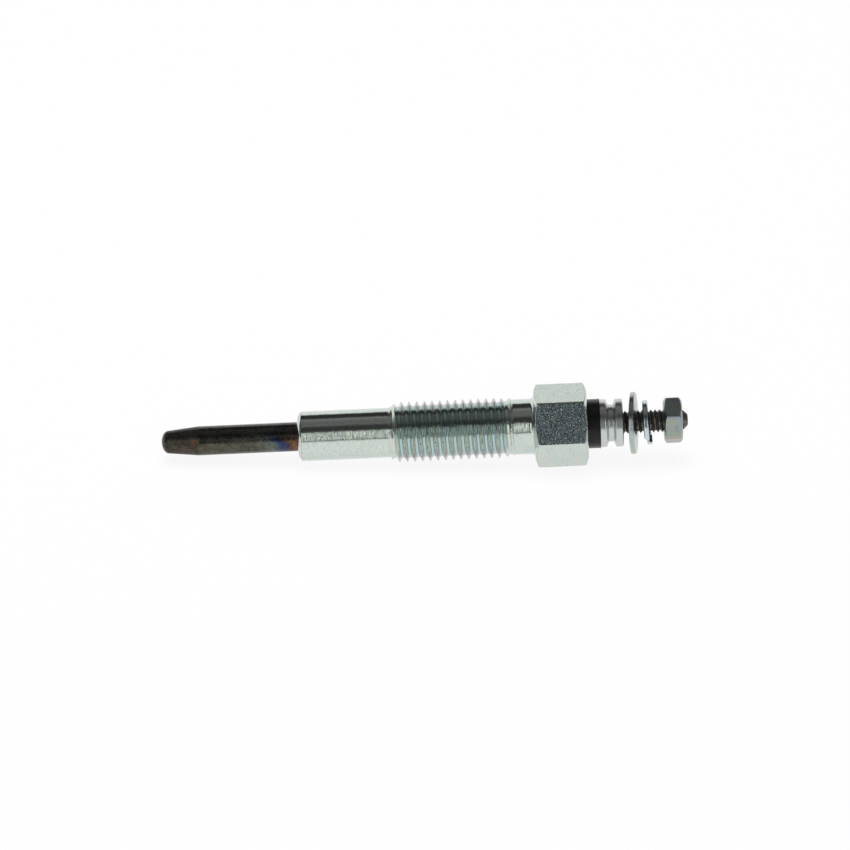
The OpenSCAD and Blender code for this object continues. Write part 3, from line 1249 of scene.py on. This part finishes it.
@dataclass
class Heater(Assembly):
    """Sheathed heater: the swaged tube, and the coils, powder and seal inside it."""

    tip_x: float = front_of("glow_tube")
    end_x: float = back_of("glow_tube")
    tube_r: float = width_of("glow_tube") / 2
    sides: int = 96
    wall: float = 0.5
    taper: float = 6.1
    tip_r: float = 1.75
    dome_r: float = 1.85
    dome_len: float = 1.14
    tip_wall: float = 0.8
    taper_fillet: float = 6.0

    def dome_x(self, turn: float) -> float:
        """Station on the domed tip, at an angle from its middle."""
        return self.tip_x + self.dome_len * (1 - math.cos(turn))

    def pieces(self) -> list[bpy.types.Object]:
        """Builds the tube and coats the pieces inside it.

        Returns:
            The tube, both coils, the powder and the tube's seal.
        """
        shell = Shell("swaged_tube", even_angles(self.sides))
        inner_r = self.tube_r - self.wall
        dome = [math.radians(angle) for angle in range(12, 85, 8)]
        outside = [
            *(Corner(self.dome_x(turn), self.dome_r * math.sin(turn)) for turn in dome),
            Corner(self.tip_x + self.taper, self.tube_r, self.taper_fillet),
            Corner(self.end_x, self.tube_r),
        ]
        inside = [
            Corner(self.end_x, inner_r),
            Corner(self.tip_x + self.taper, inner_r),
            Corner(self.tip_x + self.tip_wall, self.tip_r - self.wall),
            Corner(self.tip_x + self.tip_wall, 0.25),
        ]
        shell.turned(rounded(outside, steps=8))
        shell.turned(rounded(inside))
        shell.tip(shell.first, Vector((self.tip_x, 0, 0)))
        shell.tip(shell.last, Vector((self.tip_x + self.tip_wall, 0, 0)))
        tube = self.dress(shell.finish(), "glow_tube", Slot.TUBE_ALLOY, OxidisedSheath())
        heating = DrawnWire("heating_wire", (0.42, 0.36, 0.30), (0.20, 0.15, 0.11))
        control = DrawnWire("control_wire", (0.50, 0.47, 0.42), (0.26, 0.24, 0.21))
        return [
            tube,
            self.coat("heating_coil", Slot.HEATING_WIRE, heating),
            self.coat("control_coil", Slot.CONTROL_WIRE, control),
            self.coat("insulating_powder", Slot.POWDER, PackedPowder()),
            self.coat("tube_seal", Slot.SEAL_RUBBER, SealRubber()),
        ]


@dataclass
class Terminal(Assembly):
    """Terminal: the threaded rod, its seal, the insulating bush and the round nut."""

    rod_front: float = front_of("terminal_rod")
    rod_end: float = back_of("terminal_rod")
    bush_back: float = back_of("insulating_bush")
    bush_front: float = front_of("insulating_bush")
    round_front: float = front_of("round_nut")
    round_back: float = back_of("round_nut")
    rod_sides: int = 72
    ring_sides: int = 112
    spigot_r: float = 0.72
    pin_r: float = 1.4
    pin_end: float = 18.6
    rod_r: float = 1.725
    stud_x: float = 46.6
    crest_r: float = 1.88
    root_r: float = 1.56
    thread_pitch: float = 0.7
    thread_phase: float = 57.36
    end_chamfer: float = 0.95
    sleeve_r: float = 3.19
    flange_x: float = 46.41
    flange_r: float = 4.0
    lip_h: float = 0.1
    lip_w: float = 0.2
    bush_hole_r: float = 1.93
    round_r: float = 3.9
    round_hole_r: float = 1.91
    front_ring: float = 1.03
    back_ring: float = 1.2
    groove_r: float = 3.025
    groove_slope: float = 0.34
    round_chamfer: float = 0.15

    def screw(self) -> Thread:
        """Terminal thread, turned down to a blunt end.

        Returns:
            The thread.
        """
        start, end = self.stud_x, self.rod_end - 0.06
        blunt = self.crest_r - self.end_chamfer
        crest = [
            (start, self.rod_r),
            (start + 0.3, self.crest_r),
            (end - self.end_chamfer, self.crest_r),
            (end, blunt),
        ]
        thin = end - (self.root_r - blunt)
        root = [(start, self.rod_r), (start + 0.4, self.root_r), (thin, self.root_r), (end, blunt)]
        return Thread(self.thread_pitch, start, end, self.thread_phase, crest, root, root_round=0.05)

    def rod(self) -> bpy.types.Object:
        """Builds the terminal rod with its thread.

        Returns:
            The dressed piece.
        """
        shell = Shell("threaded_rod", even_angles(self.rod_sides))
        plain = [
            Corner(self.rod_front, self.spigot_r),
            Corner(0, self.spigot_r),
            Corner(0, self.pin_r, 0.1),
            Corner(self.pin_end, self.pin_r),
            Corner(self.pin_end + self.rod_r - self.pin_r, self.rod_r),
            Corner(self.stud_x - 0.1, self.rod_r),
        ]
        shell.turned(rounded(plain))
        shell.thread(self.screw())
        blunt = self.crest_r - self.end_chamfer
        shell.turned([(self.rod_end - 0.02, blunt - 0.12), (self.rod_end, blunt - 0.4)])
        shell.tip(shell.first, Vector((self.rod_front, 0, 0)))
        shell.tip(shell.last, Vector((self.rod_end, 0, 0)))
        return self.dress(shell.finish(), "terminal_rod", Slot.BLACK_STEEL, BlackOxide())

    def bush(self) -> bpy.types.Object:
        """Builds the insulating bush with the moulding lip on its flange.

        Returns:
            The dressed piece.
        """
        lip_r = self.flange_r + self.lip_h
        outline = [
            Corner(self.bush_front, self.bush_hole_r),
            Corner(self.bush_front, self.sleeve_r, 0.1),
            Corner(self.flange_x, self.sleeve_r),
            Corner(self.flange_x, self.flange_r, 0.08),
            Corner(self.bush_back - self.lip_w, self.flange_r, 0.05),
            Corner(self.bush_back - self.lip_w * 0.55, lip_r, 0.03),
            Corner(self.bush_back, lip_r - 0.02, 0.04),
            Corner(self.bush_back, self.bush_hole_r),
        ]
        bush = self.lathe("moulded_bush", self.ring_sides, rounded(outline))
        plastic = MouldedBlack("black_plastic", grey(0.003), grey(0.006), 0.24, 0.006)
        return self.dress(bush, "insulating_bush", Slot.BUSH_PLASTIC, plastic)

    def round_nut(self) -> bpy.types.Object:
        """Builds the round nut with its rolled groove.

        Returns:
            The dressed piece.
        """
        side_a = self.round_front + self.front_ring
        side_b = side_a + self.groove_slope
        side_d = self.round_back - self.back_ring
        side_c = side_d - self.groove_slope
        outline = [
            Corner(self.round_front, self.round_hole_r),
            Corner(self.round_front, self.round_r, 0.05),
            Corner(side_a, self.round_r, 0.3),
            Corner(side_b, self.groove_r, 0.16),
            Corner(side_c, self.groove_r, 0.16),
            Corner(side_d, self.round_r, 0.16),
            Corner(self.round_back - self.round_chamfer, self.round_r, 0.06),
            Corner(self.round_back, self.round_r - self.round_chamfer, 0.06),
            Corner(self.round_back, self.round_hole_r, 0.1),
            Corner(self.round_back - 0.4, self.round_hole_r),
        ]
        nut = self.lathe("grooved_nut", self.ring_sides, rounded(outline))
        return self.dress(nut, "round_nut", Slot.TURNED_METAL, TurnedMetal())

    def pieces(self) -> list[bpy.types.Object]:
        """Builds the rod, the bush and the round nut, and coats the seal."""
        seal = self.coat("rod_seal", Slot.SEAL_RUBBER, SealRubber("rod_seal_rubber"))
        return [self.rod(), seal, self.bush(), self.round_nut()]


@dataclass
class Fasteners(Assembly):
    """Loose pieces on the stud: the flat washer, the spring washer and the nut."""

    washer_x: float = 53.91
    washer_r: float = 5.05
    washer_hole_r: float = 2.15
    washer_t: float = 0.8
    washer_swing: float = math.radians(6.6)
    washer_lean: float = math.radians(1.9)
    washer_hang: float = 0.206
    spring_x: float = 56.06
    spring_r: float = 3.65
    spring_hole_r: float = 2.15
    spring_t: float = 0.85
    spring_set: float = 0.5
    spring_start: float = math.radians(215)
    spring_sweep: float = math.radians(350)
    spring_slant: float = math.radians(14)
    spring_lean: float = math.radians(3.2)
    spring_hang: float = 0.19
    spring_bevel: float = 0.12
    spring_steps: int = 120
    washer_sides: int = 128
    hexagon: Hexagon = Hexagon(
        flats=6.85,
        over_r=3.87,
        front=front_of("terminal_nut"),
        back=back_of("terminal_nut"),
        face_r=3.15,
        chamfer=math.radians(30),
        end_round=0.45,
        corner_round=0.55,
        edge=0.03,
        turn=math.radians(141),
    )
    flat_steps: int = 11
    nut_hole_r: float = 1.93

    def flat_washer(self) -> bpy.types.Object:
        """Builds the flat washer: one stamped face is rolled over at its edge, the other is sharp.

        Returns:
            The dressed piece.
        """
        half = self.washer_t / 2
        outline = [
            Corner(-half, (self.washer_r + self.washer_hole_r) / 2),
            Corner(-half, self.washer_r, 0.14),
            Corner(half, self.washer_r, 0.26),
            Corner(half, self.washer_hole_r, 0.16),
            Corner(-half, self.washer_hole_r, 0.06),
        ]
        outline.append(outline[0])
        washer = self.lathe("stamped_washer", self.washer_sides, rounded(outline)[:-1])
        place = Matrix.Translation(Vector((self.washer_x, 0, -self.washer_hang)) * MM)
        swing = Matrix.Rotation(-self.washer_swing, 4, "Z")
        washer.data.transform(place @ swing @ Matrix.Rotation(-self.washer_lean, 4, "Y"))
        tints = ((0.60, 0.66, 0.36), (0.40, 0.58, 0.60), (0.58, 0.52, 0.58))
        finish = PlatedSteel("washer_zinc", (0.38, 0.43, 0.415), tints, 0.5, 0.2)
        return self.dress(washer, "flat_washer", Slot.ZINC_WASHER, finish)

    def spring_washer(self) -> bpy.types.Object:
        """Builds the split washer: a rounded bar, wound left-handed and cut off at a slant.

        Returns:
            The dressed piece.
        """
        shell = Shell("wound_washer")
        half = self.spring_t / 2
        section = [
            Corner(0, self.spring_hole_r),
            Corner(-half, self.spring_hole_r, 0.12),
            Corner(-half, self.spring_r, 0.24),
            Corner(half, self.spring_r, 0.24),
            Corner(half, self.spring_hole_r, 0.12),
            Corner(0, self.spring_hole_r),
        ]
        outline = rounded(section)[:-1]
        middle = (self.spring_r + self.spring_hole_r) / 2
        bevel = self.spring_bevel / middle
        plain = self.spring_sweep - 2 * bevel
        rows = [(bevel + plain * i / self.spring_steps, 0.0) for i in range(self.spring_steps + 1)]
        cut = self.spring_bevel / 3
        front = [(0.0, 3 * cut), (bevel * 0.3, cut)]
        back = [(self.spring_sweep - turn, inset) for turn, inset in front[::-1]]
        for sweep, inset in [*front, *rows, *back]:
            points = []
            for x, r in outline:
                x *= 1 - inset / half
                r = middle + (r - middle) * (1 - inset / (self.spring_r - middle))
                turn = sweep + self.spring_slant * x / self.spring_t
                angle = self.spring_start + turn
                along = x + self.spring_set * (0.5 - turn / self.spring_sweep)
                points.append(Vector((along, r * math.cos(angle), r * math.sin(angle))))
            shell.follow(shell.row(points))
        shell.face(shell.first)
        shell.face(shell.last)
        washer = shell.finish()
        place = Matrix.Translation(Vector((self.spring_x, 0, -self.spring_hang)) * MM)
        washer.data.transform(place @ Matrix.Rotation(-self.spring_lean, 4, "Y"))
        tints = ((0.52, 0.64, 0.70), (0.60, 0.68, 0.68), (0.56, 0.62, 0.70))
        finish = PlatedSteel("spring_zinc", (0.56, 0.66, 0.68), tints, 0.5, 0.16)
        return self.dress(washer, "spring_washer", Slot.ZINC_WASHER, finish)

    def nut(self) -> bpy.types.Object:
        """Builds the hexagon nut, tumbled round at its corners.

        Returns:
            The dressed piece.
        """
        hexagon = self.hexagon
        shell = Shell("tumbled_nut", hexagon.angles(self.flat_steps))
        hexagon.end_rings(shell, 1)
        hexagon.end_rings(shell, -1)
        bore = [
            Corner(hexagon.back, hexagon.face_r - 0.1),
            Corner(hexagon.back, self.nut_hole_r, 0.25),
            Corner(hexagon.front, self.nut_hole_r, 0.25),
            Corner(hexagon.front, hexagon.face_r - 0.1),
        ]
        shell.turned(rounded(bore))
        shell.loop()
        tints = ((0.48, 0.36, 0.36), (0.34, 0.43, 0.33), (0.33, 0.37, 0.50))
        finish = PlatedSteel("nut_zinc", (0.36, 0.37, 0.36), tints, 0.75, 0.26)
        return self.dress(shell.finish(), "terminal_nut", Slot.NUT_STEEL, finish)

    def pieces(self) -> list[bpy.types.Object]:
        """Builds the two washers and the nut."""
        return [self.flat_washer(), self.spring_washer(), self.nut()]


@dataclass
class Studio:
    """Pale table, soft light and the camera.

    Rises are angles in degrees, from the horizon by the camera over the top to the far horizon.
    The border is the softness of a change of shade, as a share of half a turn.
    """

    body: Body
    thread_touch: float = 15.6
    hex_touch: float = 37.9
    floor_size: float = 6.0
    elevation: float = math.radians(28.5)
    roll: float = math.radians(0.25)
    distance: float = 0.65
    frame_width: float = 138.2
    aim_x: float = 20.0
    aim_up: float = 0.97
    sensor: float = 36.0
    ceiling: Sequence[Point] = (
        (0, 0.12),
        (5, 0.11),
        (43, 0.045),
        (70, 0.13),
        (77, 0.19),
        (83, 0.12),
        (89, 0.19),
        (95, 0.14),
        (102, 0.24),
        (113, 0.035),
        (144, 1.0),
    )
    window_rise: Point = (5, 43)
    window_side: Point = (0.2, 0.6)
    window_soft: float = 0.06
    window: Colour = (1.32, 1.34, 1.24)
    wall: Colour = (0.045, 0.06, 0.085)
    border: float = 0.009
    corner_rise: Point = (135, 144)
    corner_side: Point = (0.4, 0.7)
    corner_shade: float = 0.2
    end_side: Point = (0.95, 0.99)
    end_shade: float = 0.3
    lamp_size: float = 0.9
    lamp_power: float = 8.6
    lamp_place: Triple = (0.02, 0.1, 0.9)

    def table(self) -> Matrix:
        """Frame of the table: it touches the thread and the front edge of the lower flat.

        Returns:
            Matrix whose Z axis is the table's normal, in metres.
        """
        low = Vector((self.thread_touch, 0, -self.body.crest_r))
        lower = Vector((self.hex_touch, 0, -self.body.hexagon.flats / 2))
        along = (lower - low).normalized()
        side = Vector((0, 1, 0))
        turn = Matrix((along, side, along.cross(side))).transposed()
        return Matrix.Translation(lower * MM) @ turn.to_4x4()

    def floor(self) -> None:
        """Adds the table top."""
        half = self.floor_size / 2
        data = bpy.data.meshes.new("table_top")
        signs = ((-1, -1), (1, -1), (1, 1), (-1, 1))
        corners = [Vector((x * half, y * half, 0)) for x, y in signs]
        data.from_pydata(corners, [], [(0, 1, 2, 3)])
        data.transform(self.table())
        top = bpy.data.objects.new("table_top", data)
        bpy.context.scene.collection.objects.link(top)
        data.materials.append(PaleTable().material())

    @staticmethod
    def shares(rises: Point) -> list[float]:
        """Rises as shares of half a turn."""
        return [rise / 180 for rise in rises]

    def sky(self) -> None:
        """Sets the room round the table: a white backdrop, a dark ceiling, two windows by the camera."""
        world = bpy.data.worlds.new("studio")
        world.use_nodes = True
        bpy.context.scene.world = world
        graph = Graph(world.node_tree)
        direction = graph.node("ShaderNodeTexCoord", output="Generated")
        x, y, z = graph.axes(direction)
        rise = z.math("ARCTAN2", -y) / math.pi
        stops = [(0.0, grey(self.ceiling[0][1]))]
        for (_, before), (start, shade) in zip(self.ceiling, self.ceiling[1:]):
            share = start / 180
            stops += [(share - self.border, grey(before)), (share + self.border, grey(shade))]
        room = graph.ramp(rise, stops)
        front = rise.between(*self.shares(self.window_rise), self.border)
        room = graph.mix(front, room, self.wall)
        windows = front * abs(x).between(*self.window_side, self.window_soft)
        room = graph.mix(windows, room, self.window)
        corner = rise.ramp(*self.shares(self.corner_rise)) * x.ramp(*self.corner_side)
        room = graph.mix(corner, room, grey(self.corner_shade))
        room = graph.mix(x.ramp(*self.end_side), room, grey(self.end_shade))
        camera = graph.node("ShaderNodeLightPath", output="Is Camera Ray")
        colour = graph.mix(camera, room, grey(1.0))
        back = graph.node("ShaderNodeBackground", inputs={"Color": colour, "Strength": 1.0})
        graph.node("ShaderNodeOutputWorld", inputs={"Surface": back})

    def lamp(self) -> None:
        """Adds a broad soft lamp above the table."""
        light = bpy.data.lights.new("soft_box", "AREA")
        light.shape = "DISK"
        light.size = self.lamp_size
        light.energy = self.lamp_power
        lamp = bpy.data.objects.new("soft_box", light)
        lamp.location = self.lamp_place
        lamp.visible_glossy = False
        bpy.context.scene.collection.objects.link(lamp)

    def camera(self) -> None:
        """Adds the camera in front of the plug, looking down on it from the side."""
        lens = bpy.data.cameras.new("camera")
        lens.sensor_width = self.sensor
        lens.lens = self.sensor * self.distance / (self.frame_width * MM)
        lens.clip_end = 20
        turn = self.table().to_3x3()
        back = turn @ Vector((0, -math.cos(self.elevation), math.sin(self.elevation)))
        right = turn @ Vector((1, 0, 0))
        up = back.cross(right)
        spin = Matrix.Rotation(-self.roll, 3, back)
        right, up = spin @ right, spin @ up
        aim = Vector((self.aim_x, 0, 0)) * MM + up * self.aim_up * MM
        place = Matrix((right, up, back)).transposed().to_4x4()
        place.translation = aim + back * self.distance
        camera = bpy.data.objects.new("camera", lens)
        camera.matrix_world = place
        bpy.context.scene.collection.objects.link(camera)
        bpy.context.scene.camera = camera

    def build(self) -> None:
        """Builds the table, the room, the lamp and the camera."""
        self.floor()
        self.sky()
        self.lamp()
        self.camera()
        bpy.context.scene.view_settings.view_transform = "Standard"


def main() -> None:
    """Builds the plug and its studio."""
    logging.basicConfig(level=logging.INFO, format="%(name)s: %(message)s")
    body = Body()
    for group in (body, Heater(), Terminal(), Fasteners()):
        for piece in group.pieces():
            faces = sum(len(face.vertices) - 2 for face in piece.data.polygons)
            LOG.info("%s: %d triangles, %s", piece.name, faces, piece.data.materials[0].name)
    Studio(body).build()


if __name__ == "__main__":
    main()
